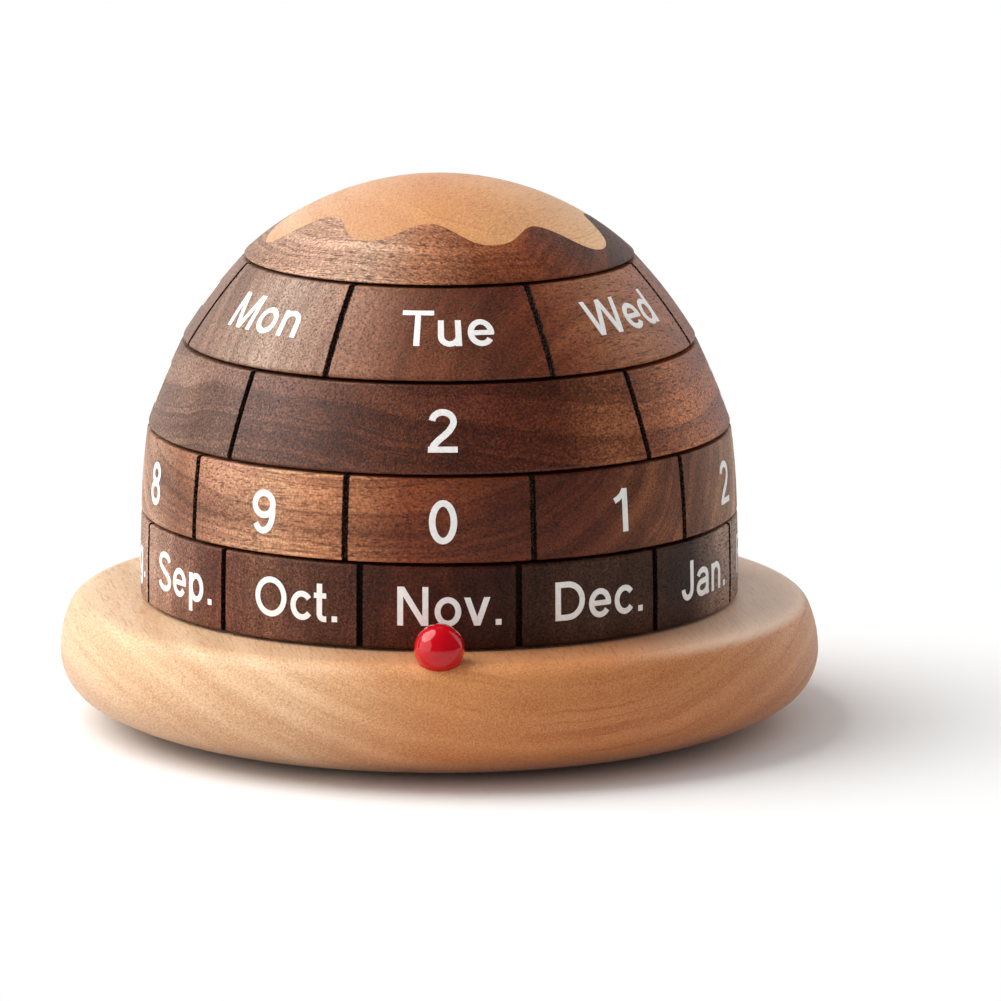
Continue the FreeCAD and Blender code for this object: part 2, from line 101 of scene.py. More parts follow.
# %% Straight strokes
def divided(points):
    """The outline, run anticlockwise and with long sides cut into short ones to follow a round surface."""
    if sum(a[0] * b[1] - b[0] * a[1] for a, b in zip(points, points[1:] + points[:1])) < 0:
        points = points[::-1]
    result = []
    for start, stop in zip(points, points[1:] + points[:1]):
        length = math.dist(start, stop)
        pieces = max(1, math.ceil(length / STEP))
        for number in range(pieces):
            share = number / pieces
            result.append((start[0] + (stop[0] - start[0]) * share, start[1] + (stop[1] - start[1]) * share))
    return result


def slant(x0, y0, x1, y1):
    """A straight stroke whose ends are level."""
    half = HALF * math.dist((x0, y0), (x1, y1)) / abs(y1 - y0)
    return divided([(x0 - half, y0), (x0 + half, y0), (x1 + half, y1), (x1 - half, y1)])


def stem(x, y0=0.0, y1=CAPITALS):
    """An upright stroke."""
    return slant(x, y0, x, y1)


def bar(x0, x1, y):
    """A level stroke, a little thinner than an upright one."""
    return divided([(x0, y - BAR_HALF), (x1, y - BAR_HALF), (x1, y + BAR_HALF), (x0, y + BAR_HALF)])


print("outline points of a tall stem:", len(stem(0.0)))


# %% Round strokes
def bow(x, y, across, tall, start, stop):
    """Points along part of an oval, with angles in degrees from the right."""
    count = max(3, math.ceil(abs(stop - start) / BOW_STEP))
    angles = [math.radians(start + (stop - start) * n / count) for n in range(count + 1)]
    return [(x + across * math.cos(a), y + tall * math.sin(a)) for a in angles]


def ribbon(points, weight=1.0):
    """A stroke of even weight along the points, cut square at both ends."""
    left, right = [], []
    for number, point in enumerate(points):
        before, after = points[max(number - 1, 0)], points[min(number + 1, len(points) - 1)]
        run, rise = after[0] - before[0], after[1] - before[1]
        length = math.hypot(run, rise)
        side = (-rise / length * HALF * weight, run / length * HALF * weight)
        left.append((point[0] + side[0], point[1] + side[1]))
        right.append((point[0] - side[0], point[1] - side[1]))
    return divided(left + right[::-1])


def oval(x, y, across, tall):
    """A closed bowl, as two half ribbons that overlap a little at both joints."""
    halves = ((-OVERLAP, 180 + OVERLAP), (180 - OVERLAP, 360 + OVERLAP))
    return [ribbon(bow(x, y, across, tall, start, stop)) for start, stop in halves]


print("outlines of a round bowl:", len(oval(0.0, 0.0, STROKE, STROKE)))

# %% Capitals
# The middle of a small bowl, and half the height of its stroke's middle line.
MIDDLE, BOWL = 259.5, 271.5 - HALF
# Each sign has its width and the outlines of its strokes.
LETTERS = {
    "A": (667, [slant(60, 0, 333, CAPITALS), slant(607, 0, 333, CAPITALS), bar(130, 536, 250)]),
    "D": (722, [stem(79 + HALF), ribbon([(90, CAPITALS - HALF), (250, CAPITALS - HALF)]
                + bow(330, 358, 344 - HALF, 358 - HALF, 90, -90) + [(250, HALF), (90, HALF)])]),
    "F": (611, [stem(82 + HALF), bar(82, 565, CAPITALS - BAR_HALF), bar(82, 518, 385)]),
    "J": (500, [ribbon([(420 - HALF, CAPITALS), (420 - HALF, 400)]
                + bow(224.5, 206, 195.5 - HALF, 218 - HALF, 0, -180))]),
    "M": (833, [stem(74 + HALF), stem(757 - HALF), slant(160, CAPITALS, 415.5, 0),
                slant(671, CAPITALS, 415.5, 0)]),
    "N": (722, [stem(76 + HALF), stem(641 - HALF), slant(139, CAPITALS, 578, 0)]),
    "O": (778, oval(391, 358, 343 - HALF, 370 - HALF)),
    "S": (667, [ribbon(bow(335, 537, 210, 191 - HALF, 8, 235) + bow(335, 180, 228, 192 - HALF, 55, -172))]),
    "T": (611, [stem(306.5), bar(10, 603, CAPITALS - BAR_HALF)]),
    "W": (944, [slant(66, CAPITALS, 252, 0), slant(472, CAPITALS, 252, 0), slant(472, CAPITALS, 692, 0),
                slant(877, CAPITALS, 692, 0)]),
}
print("capitals:", " ".join(LETTERS))

# %% Small letters
arch = ribbon(bow(276.5, 318, 210.5 - HALF, 213 - HALF, 180, 0) + [(487 - HALF, 160), (487 - HALF, 0)])
LETTERS.update({
    "a": (556, [ribbon(bow(262, 352, 172, 179 - HALF, 168, 0) + [(434, 250), (436, 100), (458, 0)]),
                ribbon([(434, 292), (330, 274)] + bow(222, 153, 134, 112, 102, 262)
                       + bow(250, 190, 184, 149, -85, -5))]),
    "b": (556, [stem(66 + HALF)] + oval(296, MIDDLE, 219 - HALF, BOWL)),
    "c": (500, [ribbon(bow(275, MIDDLE, 236 - HALF, BOWL, 38, 322))]),
    "d": (556, [stem(486 - HALF)] + oval(254, MIDDLE, 219 - HALF, BOWL)),
    "e": (556, [ribbon(bow(276, MIDDLE, 238 - HALF, BOWL, -8, 324)), bar(80, 500, MIDDLE)]),
    "g": (556, [ribbon([(490 - HALF, SMALL), (490 - HALF, 200), (490 - HALF, -15)]
                       + bow(262, -25, 228 - HALF, 185 - HALF, 0, -163))]
          + oval(256, MIDDLE, 219 - HALF, BOWL)),
    "h": (556, [stem(66 + HALF), arch]),
    "i": (222, [stem(111, 0, SMALL), stem(111, 612, CAPITALS)]),
    "l": (222, [stem(108)]),
    "n": (556, [stem(66 + HALF, 0, SMALL), arch]),
    "o": (556, oval(275, MIDDLE, 242 - HALF, BOWL)),
    "p": (556, [stem(66 + HALF, -199, SMALL)] + oval(296, MIDDLE, 219 - HALF, BOWL)),
    "r": (333, [stem(65 + HALF, 0, SMALL), ribbon(bow(268, 312, 203 - HALF, 219 - HALF, 180, 60))]),
    "t": (278, [ribbon([(127, 690), (127, 300), (127, 150)] + bow(218, 128, 91, 87, 180, 270) + [(264, 42)]),
                bar(18, 262, SMALL - BAR_HALF)]),
    "u": (556, [stem(482 - HALF, 0, SMALL), ribbon([(64 + HALF, SMALL), (64 + HALF, 300)]
                                                  + bow(273, 201, 209 - HALF, 213 - HALF, 180, 360))]),
    "v": (500, [slant(69, SMALL, 252, 0), slant(435, SMALL, 252, 0)]),
    "y": (500, [slant(69, SMALL, 252, 0), slant(435, SMALL, 232, -56),
                ribbon([(252, 0), (234, -50)] + bow(120, -50, 112, 160 - HALF, -20, -105))]),
    ".": (278, [stem(144, 0, STROKE)]),
})
print("letters so far:", len(LETTERS))

# %% Digits
def half_turned(shapes, x, y):
    """Outlines turned by 180 degrees about a point, which makes a 9 of a 6."""
    return [[(2 * x - px, 2 * y - py) for px, py in shape] for shape in shapes]


six = oval(277, 223, 235 - HALF, 235 - HALF) + [ribbon(bow(286, 352, 244 - HALF, 364 - HALF, 190, 40))]
LETTERS.update({
    "0": (556, oval(273.5, 352, 231.5 - HALF, 364 - HALF)),
    "1": (556, [stem(322), ribbon([(322, 700), (262, 616), (190, 560), (112, 524)], 0.9)]),
    "2": (556, [ribbon(bow(270, 507, 231 - HALF, 209 - HALF, 174, -30) + [(372, 352), (300, 284), (190, 190),
                       (122, 112), (100, 54)]), bar(36, 504, BAR_HALF)]),
    "3": (556, [ribbon(bow(262, 521, 216 - HALF, 195 - HALF, 168, -78)),
                ribbon(bow(268, 211, 243 - HALF, 223 - HALF, 78, -168)), bar(190, 320, 378)]),
    "4": (556, [stem(371), bar(14, 508, 213), slant(74, 216, 356, CAPITALS)]),
    "5": (556, [bar(120, 481, DIGITS - BAR_HALF), slant(168, DIGITS, 112, 330),
                ribbon(bow(263, 229.5, 248 - HALF, 241.5 - HALF, 142, -165))]),
    "6": (556, six),
    "7": (556, [bar(47, 511, DIGITS - BAR_HALF),
                ribbon([(470, 665), (372, 520), (284, 330), (232, 150), (208, 0)])]),
    "8": (556, oval(276, 525, 205 - HALF, 191 - HALF) + oval(276, 203, 235 - HALF, 215 - HALF)),
    "9": (556, half_turned(six, 277, 352)),
})
print("all signs:", len(LETTERS))

# %% [markdown]
# ## Cutting a word out of its strokes
# Strokes overlap where they cross. A constrained triangulation of all the outlines of a letter keeps only what
# lies inside some stroke, so it gives their union with no lines across the joints. The flat word is then
# extruded in edit mode, and last its points are moved onto the ring's face: the width becomes an angle
# round the spindle, the height a way up the face, and the thickness a distance off it.

# %% Flat letters
# The triangulation keeps what lies inside an outline and joins points that are this near to each other.
INSIDE_ONLY, NEARNESS = 1, 0.01


def flat_letter(sign):
    """Triangles of one letter, in thousandths of the type size."""
    points, faces = [], []
    for outline in LETTERS[sign][1]:
        faces.append(list(range(len(points), len(points) + len(outline))))
        points += [Vector(point) for point in outline]
    corners, _, triangles, _, _, sources = delaunay_2d_cdt(points, [], faces, INSIDE_ONLY, NEARNESS)
    kept = [list(triangle) for triangle, source in zip(triangles, sources) if source]
    return [tuple(point) for point in corners], kept


FLAT = {sign: flat_letter(sign) for sign in LETTERS}
print("triangles in all flat signs:", sum(len(faces) for points, faces in FLAT.values()))

# %% Flat words
# In mm: how far the paint stands off the face, how deep it lies in it, and how near equal points are.
PROUD, SUNK, SAME_POINT = 0.035, 0.15, 0.001


def new_object(name, points, faces):
    """A mesh object in the scene, made from points and faces."""
    mesh = bpy.data.meshes.new(name)
    mesh.from_pydata(points, [], faces)
    made = bpy.data.objects.new(name, mesh)
    bpy.context.scene.collection.objects.link(made)
    return made


def flat_word(name, word, capital_height):
    """The word as a flat sheet in mm, centred on its width, extruded to the depth of the paint."""
    unit = capital_height / CAPITALS
    points, faces, pen = [], [], 0.0
    for sign in word:
        outline, triangles = FLAT[sign]
        first = len(points)
        points += [((x + pen) * unit, y * unit, PROUD) for x, y in outline]
        faces += [[first + corner for corner in triangle] for triangle in triangles]
        pen += LETTERS[sign][0]
    low, high = min(p[0] for p in points), max(p[0] for p in points)
    piece = new_object(name, [(x - (low + high) / 2, y, z) for x, y, z in points], faces)
    bpy.context.view_layer.objects.active = piece
    bpy.ops.object.mode_set(mode="EDIT")
    bpy.ops.mesh.select_all(action="SELECT")
    bpy.ops.mesh.remove_doubles(threshold=SAME_POINT)
    bpy.ops.mesh.extrude_region_move(TRANSFORM_OT_translate={"value": (0, 0, -PROUD - SUNK)})
    bpy.ops.mesh.select_all(action="SELECT")
    bpy.ops.mesh.normals_make_consistent(inside=False)
    bpy.ops.object.mode_set(mode="OBJECT")
    return piece


print("thickness of the paint in mm:", round(PROUD + SUNK, 3))

# %% A word lies down on a ring
# Widths are true at this height above the baseline, in mm.
HALF_WORD = 3.0


def laid_on(piece, ring, baseline, turn):
    """Wrap the flat word onto the ring's face, turned from the front by so many degrees."""
    middle_radius = ring_face(ring, baseline + HALF_WORD, 0.0)[0]
    for vertex in piece.data.vertices:
        x, y, off = vertex.co
        radius, height = ring_face(ring, baseline + y, off)
        angle = math.radians(turn) + x / middle_radius
        vertex.co = (radius * math.sin(angle) * MM, -radius * math.cos(angle) * MM, height * MM)
    piece.data.update()


for name, ring in RINGS.items():
    print(name, "field is", round(math.tau * ring["low"] / ring["fields"], 1), "mm wide at its foot")

# %% [markdown]
# ## The words on the fields
# On the real calendar the engraved letters are filled with white paint. The labels follow one another to the
# right, so that turning a ring to the left brings up the next one. Each word is a piece of its own, which
# rides on its ring.

# %% Letter the rings
# Labels, capital height and baseline in mm, and by how many degrees the first label is off to the right.
LETTERING = {
    "weekday": (["Tue", "Wed", "Thu", "Fri", "Sat", "Sun", "Mon"], 6.4, 6.25, 2.0),
    "tens": (["2", "3", "0", "1"], 7.1, 3.7, 0.7),
    "unit": (["0", "1", "2", "3", "4", "5", "6", "7", "8", "9"], 7.0, 3.25, 0.7),
    "month": (["Nov.", "Dec.", "Jan.", "Feb.", "Mar.", "Apr.", "May", "Jun.", "Jul.", "Aug.", "Sep.", "Oct."],
              6.3, 3.85, 1.9),
}
words = []
for name, (labels, capital_height, baseline, lead) in LETTERING.items():
    ring = RINGS[name]
    for index, label in enumerate(labels):
        piece = flat_word(f"{name}_word_{index}", label, capital_height)
        laid_on(piece, ring, baseline, lead + index * 360 / ring["fields"])
        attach(piece, f"{name}_turner")
        words.append(piece)
    print(name, "ring carries", len(labels), "words")
bpy.ops.object.select_all(action="DESELECT")
print("faces in all lettering:", sum(len(piece.data.polygons) for piece in words))

# %% [markdown]
# ## A bench for finishes
# Every finish is a small tree of nodes on one Principled shader. The class below adds a node, sets or
# wires its inputs and hands back an output, so a finish reads as a recipe. Patterns read Object
# coordinates, which are metres on the real object, so a pore is as long as a real one.

# %% A finish and its nodes
class Finish:
    """One material, built up by short calls."""

    def __init__(self, name, **shader):
        self.material = bpy.data.materials.new(name)
        self.material.use_nodes = True
        self.tree = self.material.node_tree
        self.shader = self.tree.nodes["Principled BSDF"]
        for label, value in shader.items():
            self.put(self.shader.inputs[label.replace("_", " ").title().replace("Ior", "IOR")], value)

    def put(self, socket, value):
        """Wire another socket to this one, or set it to a value."""
        if isinstance(value, bpy.types.NodeSocket):
            self.tree.links.new(value, socket)
        else:
            socket.default_value = value

    def add(self, kind, inputs, output=0, **settings):
        """A new node with its inputs filled, of which one output is handed back."""
        made =self.tree.nodes.new("ShaderNode" + kind)
        for label, value in settings.items():
            setattr(made, label, value)
        for label, value in inputs.items():
            self.put(made.inputs[label], value)
        return made.outputs[output]

    def place(self, turn=(0, 0, 0), move=(0, 0, 0), scale=(1, 1, 1), vector=None):
        """Object coordinates, or another vector, scaled, turned by degrees and moved."""
        if vector is None:
            vector = self.add("TexCoord", {}, "Object")
        return self.add("Mapping", {"Vector": vector, "Rotation": [math.radians(a) for a in turn],
                                    "Location": move, "Scale": scale})

    def coordinate(self, axis):
        """One Object coordinate, in metres."""
        return self.add("SeparateXYZ", {0: self.place()}, axis)

    def off_axis(self):
        """Distance from the spindle's axis, in metres."""
        return self.add("VectorMath", {0: self.place(scale=(1, 1, 0))}, "Value", operation="LENGTH")

    def noise(self, vector, detail=2.0, roughness=0.5, distortion=0.0):
        return self.add("TexNoise", {"Vector": vector, "Scale": 1.0, "Detail": detail, "Roughness": roughness,
                                     "Distortion": distortion})

    def math(self, operation, first, second=0.0):
        return self.add("Math", {0: first, 1: second}, operation=operation)

    def spread(self, value, low, high, to_low=0.0, to_high=1.0):
        """A smooth change from one strength to another while the value goes from low to high."""
        return self.add("MapRange", {"Value": value, "From Min": low, "From Max": high, "To Min": to_low,
                                     "To Max": to_high}, interpolation_type="SMOOTHSTEP")

    def ramp(self, value, stops):
        """Colours along a value from 0 to 1."""
        made = self.tree.nodes.new("ShaderNodeValToRGB")
        self.put(made.inputs[0], value)
        marks = made.color_ramp.elements
        while len(marks) < len(stops):
            marks.new(0.5)
        for mark, (place, colour) in zip(marks, stops):
            mark.position = place
            mark.color = (*colour, 1)
        return made.outputs[0]

    def mix(self, share, first, second, blend="MIX"):
        return self.add("Mix", {0: share, 6: colour_value(first), 7: colour_value(second)}, 2,
                        data_type="RGBA", blend_type=blend)

    def bump(self, height, depth):
        """Surface relief: the height runs from 0 to 1, the depth is in metres."""
        return self.add("Bump", {"Height": height, "Distance": depth, "Strength": 1.0})

    def surface(self, colour, roughness, normal):
        """Give the shader its colour, roughness and relief, and hand back the material."""
        self.put(self.shader.inputs["Base Color"], colour_value(colour))
        self.put(self.shader.inputs["Roughness"], roughness)
        self.put(self.shader.inputs["Normal"], normal)
        return self.material


def colour_value(colour):
    """A socket as it is, or red, green and blue with full opacity."""
    return colour if isinstance(colour, bpy.types.NodeSocket) else (*colour, 1)


print("steps of a finish:", ", ".join(step for step in vars(Finish) if not step.startswith("_")))

# %% [markdown]
# ## Walnut
# Walnut is brown, from golden to nearly black, with growth layers a few millimetres apart, long dark pores and
# fine fibres. Cut along the grain a pore shows as a dash, cut across it as a dot. All this comes from noise
# in space that is stretched along the grain, so that dashes turn into dots where the ring's face turns
# across it. The rings were cut from different boards, so each has its own grain direction and tone.
# Each board's colour also carries painted light by angle: paler where lamps and their sheen fall, darker
# in shade. Between two fields a hot tool has charred the groove and its edges.

# %% Wood figure
# How often fibres come in a metre, along the grain and across it, and the values of the noise between which
# wood turns to pore.
FIBRES = (330, 4600, 4600)
PORE_EDGE = (0.57, 0.70)


def grown(finish, turn, pith, waver):
    """Coordinates that run along the grain in x, and the distance from the heart of the tree."""
    along = finish.place(turn=turn, move=pith)
    sway = finish.noise(finish.place(vector=along, scale=(9, 55, 55)), detail=2.0)
    across = finish.add("VectorMath", {0: finish.place(vector=along, scale=(0, 1, 1))}, "Value",
                        operation="LENGTH")
    layer = finish.math("ADD", across, finish.math("MULTIPLY", sway, waver))
    return along, layer


def layers(finish, layer, per_metre, detail=2.0):
    """Growth layers: bands of uneven width and strength across the distance from the heart."""
    return finish.add("TexNoise", {"W": layer, "Scale": per_metre, "Detail": detail, "Roughness": 0.6},
                      noise_dimensions="1D")


def late_wood(finish, bands, width=0.035):
    """Thin lines, 1 on the line, where one growth layer ends and the next begins."""
    return finish.spread(finish.math("ABSOLUTE", finish.math("SUBTRACT", bands, 0.5)), 0.0, width, 1.0, 0.0)


def direction(finish):
    """Angle round the spindle from the front, positive to the right, in radians."""
    spot = finish.add("SeparateXYZ", {0: finish.place()}).node.outputs
    return finish.math("ARCTAN2", spot[0], finish.math("MULTIPLY", spot[1], -1.0))


print("fibres in a metre along and across the grain:", FIBRES[0], FIBRES[1])

# %% Burnt grooves
# In metres: how much the burnt edge frays, and how far from a groove's middle the burn starts to fade and ends.
FRAY = 0.0006
BURN_EDGE = (0.00051, 0.00064)


def charred(finish, fields, angle):
    """1 in the grooves between fields and on their burnt edges, 0 elsewhere."""
    radius = finish.off_axis()
    share = finish.math("FRACT", finish.math("MULTIPLY", angle, fields / math.tau))
    away = finish.math("ABSOLUTE", finish.math("SUBTRACT", share, 0.5))
    arc = finish.math("MULTIPLY", finish.math("MULTIPLY", away, math.tau / fields), radius)
    frayed = finish.noise(finish.place(scale=(2600, 2600, 2600)), detail=2.0)
    edge = finish.math("ADD", arc, finish.math("MULTIPLY", finish.math("SUBTRACT", frayed, 0.5), FRAY))
    return finish.spread(edge, *BURN_EDGE, 1.0, 0.0)


print("burnt strip in mm:", round(2 * BURN_EDGE[1] / MM, 2))

# %% Painted light and shade on the boards
# Degrees from the front, positive to the right, and how strong red, green and blue are there. These paint
# light, sheen and shade into each board's colour, along with some of the board's own tone.
PAINTED_LIGHT_TINTS = {
    "weekday": [(-180, 0.9, 0.9, 0.9), (-66, 0.95, 1.2, 1.4), (-45, 1.6, 2.4, 3.0), (-24, 1.3, 1.3, 1.2),
                (-6, 0.88, 0.6, 0.4), (12, 0.5, 0.28, 0.2), (26, 0.8, 0.4, 0.22), (36, 1.3, 0.9, 0.6),
                (54, 1.75, 1.55, 1.1), (72, 1.5, 0.95, 0.55), (100, 1.0, 0.85, 0.75), (180, 0.9, 0.9, 0.9)],
    "tens": [(-180, 1.2, 1.2, 1.2), (-66, 1.45, 2.15, 2.75), (-42, 1.0, 1.1, 1.25), (-24, 0.75, 0.58, 0.42),
             (-6, 0.8, 0.55, 0.4), (12, 0.8, 0.4, 0.25), (26, 0.9, 0.5, 0.25), (36, 1.9, 1.6, 1.1),
             (48, 1.9, 1.5, 1.0), (60, 3.4, 2.9, 1.7), (72, 2.8, 2.0, 1.0), (100, 1.5, 1.3, 1.1),
             (180, 1.2, 1.2, 1.2)],
    "unit": [(-180, 1.0, 1.0, 1.0), (-74, 1.85, 2.45, 2.8), (-60, 1.1, 1.05, 0.95), (-46, 1.9, 2.15, 2.3),
             (-34, 2.6, 3.3, 3.4), (-24, 2.5, 2.6, 2.25), (-6, 1.1, 0.62, 0.38), (12, 0.52, 0.25, 0.13),
             (30, 0.48, 0.22, 0.13), (48, 0.97, 0.74, 0.5), (60, 0.76, 0.54, 0.34), (72, 1.7, 1.75, 1.25),
             (180, 1.0, 1.0, 1.0)],
    "month": [(-180, 1.0, 1.0, 1.0), (-100, 2.0, 2.0, 1.9), (-72, 8.8, 12.3, 13.4), (-60, 5.4, 6.4, 6.6),
              (-48, 2.75, 2.1, 1.7), (-36, 3.4, 3.3, 2.95), (-24, 1.7, 1.4, 1.2), (-6, 1.65, 0.85, 0.5),
              (12, 0.76, 0.33, 0.18), (30, 1.25, 1.35, 1.1), (56, 0.72, 0.38, 0.25), (72, 7.0, 10.0, 10.8),
              (100, 2.0, 2.0, 1.9), (180, 1.0, 1.0, 1.0)],
    "cap": [(-180, 1.0, 1.0, 1.0), (-66, 1.85, 2.45, 2.8), (-42, 2.6, 3.4, 4.0), (-24, 2.1, 2.85, 3.2),
            (-6, 1.8, 1.65, 1.4), (12, 0.95, 0.62, 0.4), (30, 1.2, 0.64, 0.36), (54, 0.5, 0.26, 0.15),
            (72, 0.4, 0.18, 0.1), (180, 1.0, 1.0, 1.0)],
}
print("boards toned:", ", ".join(PAINTED_LIGHT_TINTS))

# %% Walnut boards
# The dark, middle and light brown of each board.
BROWNS = {
    "weekday": [(0.10, 0.036, 0.018), (0.21, 0.085, 0.046), (0.36, 0.170, 0.100)],
    "tens": [(0.05, 0.015, 0.007), (0.125, 0.041, 0.020), (0.25, 0.100, 0.054)],
    "unit": [(0.08, 0.026, 0.013), (0.20, 0.078, 0.040), (0.36, 0.165, 0.092)],
    "month": [(0.018, 0.0070, 0.0045), (0.048, 0.019, 0.0120), (0.100, 0.045, 0.029)],
    "cap": [(0.08, 0.030, 0.017), (0.22, 0.095, 0.053), (0.42, 0.215, 0.135)],
}
SOOT = (0.007, 0.004, 0.003)


def walnut(board, grain, heart, shine, banding=0.4, mottle=0.5, cloud=0.4, lines=0.1, per_metre=230, dash=600):
    """Walnut whose grain runs this many degrees from +X, with the heart of the tree this far off in mm.

    Shine is the strength of reflections. Banding, mottle, cloud and lines are those of the growth layers, the
    fine speckle, the broad figure and the late wood. A metre holds per_metre layers, and dash sets how often
    pores come along the grain.
    """
    woods = BROWNS[board]
    finish = Finish(f"{board}_walnut", specular_ior_level=shine)
    along, layer = grown(finish, (0, 0, -grain), (0, -heart[0] * MM, -heart[1] * MM), 0.006)
    bands = layers(finish, layer, per_metre)
    figure = finish.noise(finish.place(vector=along, scale=(30, 110, 110)), detail=3.0)
    speckle = finish.noise(finish.place(scale=(2500, 2500, 2500)), detail=1.5)
    fibres = finish.noise(finish.place(vector=along, scale=FIBRES), detail=1.0)
    pores = finish.spread(finish.noise(finish.place(vector=along, scale=(dash, 3600, 3600)), detail=0.5),
                          *PORE_EDGE)
    tone = finish.math("SUBTRACT", 0.5, finish.math("MULTIPLY", late_wood(finish, bands), lines))
    for part, strength in ((bands, banding), (figure, cloud), (speckle, mottle), (fibres, 0.25)):
        tone = finish.math("ADD", tone, finish.math("MULTIPLY", finish.math("SUBTRACT", part, 0.5), strength))
    colour = finish.ramp(tone, [(0.30, woods[0]), (0.50, woods[1]), (0.70, woods[2])])
    colour = finish.mix(finish.math("MULTIPLY", pores, 0.6), colour, [c * 0.35 for c in woods[0]])
    # Painted light: this ramp by angle paints light, sheen and shade into the colour.
    angle = direction(finish)
    around = finish.add("MapRange", {"Value": angle, "From Min": -math.pi, "From Max": math.pi})
    stops = [((degrees + 180) / 360, painted_light) for degrees, *painted_light in PAINTED_LIGHT_TINTS[board]]
    strongest = max(max(painted_light) for place, painted_light in stops)
    painted_light = finish.ramp(around, [(place, [c / strongest for c in painted_light]) for place, painted_light in stops])
    colour = finish.mix(1.0, colour, finish.mix(1.0, painted_light, [strongest] * 3, "MULTIPLY"), "MULTIPLY")
    rough = finish.math("ADD", finish.math("MULTIPLY", pores, 0.2), finish.spread(fibres, 0.3, 0.7, 0.37, 0.45))
    if board in RINGS:
        burn = charred(finish, RINGS[board]["fields"], angle)
        ember = finish.noise(finish.place(scale=(3000, 3000, 3000)), detail=1.0)
        char = finish.mix(finish.spread(ember, 0.50, 0.62), SOOT, [c * 0.6 for c in woods[1]])
        colour = finish.mix(burn, colour, char)
        rough = finish.math("MAXIMUM", rough, finish.math("MULTIPLY", burn, 0.85))
    relief = finish.math("SUBTRACT", finish.math("MULTIPLY", fibres, 0.25), pores)
    return finish.surface(colour, rough, finish.bump(relief, 0.00003))


WALNUTS = {
    "weekday_ring": walnut("weekday", 50, (-150, 66), 0.4, banding=0.3, cloud=0.25, lines=0.0, per_metre=420),
    "tens_ring": walnut("tens", 50, (0, -120), 0.4, mottle=0.7, cloud=0.3),
    "unit_ring": walnut("unit", -27, (-48, 66), 0.3, banding=0.6, per_metre=190, dash=420),
    "month_ring": walnut("month", 75, (140, 30), 0.2, mottle=0.6, banding=0.2, lines=0.05),
    "cap": walnut("cap", -32, (-20, 130), 0.18, mottle=0.55, cloud=0.3),
}
print("walnut boards:", len(WALNUTS))

# %% [markdown]
# ## Beech
# Beech is pale, pinkish and even. What tells it from other pale woods are its flecks, short brown dashes a few
# millimetres long where the face is cut along the grain, and quiet growth rings with a thin dark line at the
# end of each year. The foot is one disc cut from a wide board, with the grain from front to back, so its edge
# shows arcs in front. The inlay in the cap is the same wood.

# %% Beech boards
BEECH_DARK, BEECH_LIGHT, FLECK = (0.54, 0.285, 0.13), (0.94, 0.70, 0.45), (0.38, 0.165, 0.07)
BEECH_LAYERS = 260
# In metres: the foot's radius, the levels between which the painted shade on its low edge fades out, and
# those between which the painted sheen on its flat top comes in.
FOOT_RADIUS = 0.0625
LOW_SHADE_LEVELS, PAINTED_LOW_SHADE = (0.007, 0.021), (0.93, 0.86, 0.86)
TOP_SHEEN_LEVELS, PAINTED_TOP_SHEEN = (0.0190, 0.0204), (0.92, 0.70, 0.54)


def beech(name, grain, heart, fleck_strength, painted_side_light, pale=0.0):
    """Beech with grain and heart given as for walnut, and painted light and shade from the left side to the
    right.

    The last argument is the share of a painted sheen on the foot's flat top at the far right.
    """
    finish = Finish(name, specular_ior_level=0.35, sheen_weight=0.12, sheen_roughness=0.4)
    along, layer = grown(finish, (0, 0, -grain), (0, -heart[0] * MM, -heart[1] * MM), 0.004)
    side = finish.add("MapRange", {"Value": finish.coordinate("X"), "From Min": -FOOT_RADIUS,
                                   "From Max": FOOT_RADIUS})
    bands = layers(finish, layer, BEECH_LAYERS, detail=1.0)
    patches = finish.noise(finish.place(vector=along, scale=(14, 60, 60)), detail=2.0)
    speckle = finish.noise(finish.place(vector=along, scale=(1700, 3300, 3300)), detail=1.0)
    fibres = finish.noise(finish.place(vector=along, scale=FIBRES), detail=1.0)
    flecks = finish.spread(finish.noise(finish.place(vector=along, scale=(230, 3000, 5200)), detail=0.5),
                           *PORE_EDGE)
    faint = finish.spread(patches, 0.40, 0.65, 0.0, 0.28)
    line = finish.math("MULTIPLY", late_wood(finish, bands, 0.028), faint)
    tone = finish.math("SUBTRACT", 0.5, finish.math("MULTIPLY", line, finish.spread(side, 0.3, 0.6, 0.3, 0.75)))
    for part, strength in ((bands, 0.35), (patches, 0.35), (speckle, 0.6), (fibres, 0.35)):
        tone = finish.math("ADD", tone, finish.math("MULTIPLY", finish.math("SUBTRACT", part, 0.5), strength))
    colour = finish.ramp(tone, [(0.20, BEECH_DARK), (0.80, BEECH_LIGHT)])
    colour = finish.mix(finish.math("MULTIPLY", flecks, fleck_strength), colour, FLECK)
    # Painted light: this ramp across the width paints light, sheen and shade into the colour.
    colour = finish.mix(1.0, colour, finish.ramp(side, painted_side_light), "MULTIPLY")
    level = finish.coordinate("Z")
    # Painted shade: the colour darkens towards the foot's low edge.
    low = finish.spread(level, *LOW_SHADE_LEVELS, 1.0, 0.0)
    colour = finish.mix(low, colour, finish.mix(1.0, colour, PAINTED_LOW_SHADE, "MULTIPLY"))
    # Painted sheen: a paler colour on the foot's flat top at the far right.
    if pale:
        painted_sheen_mask = finish.math("MULTIPLY", finish.spread(level, *TOP_SHEEN_LEVELS), finish.spread(side, 0.7, 0.95))
        colour = finish.mix(finish.math("MULTIPLY", painted_sheen_mask, pale), colour, PAINTED_TOP_SHEEN)
    rough = finish.math("ADD", finish.math("MULTIPLY", flecks, 0.12),
                        finish.spread(fibres, 0.3, 0.7, 0.38, 0.45))
    relief = finish.math("SUBTRACT", finish.math("MULTIPLY", fibres, 0.3), flecks)
    return finish.surface(colour, rough, finish.bump(relief, 0.00002))


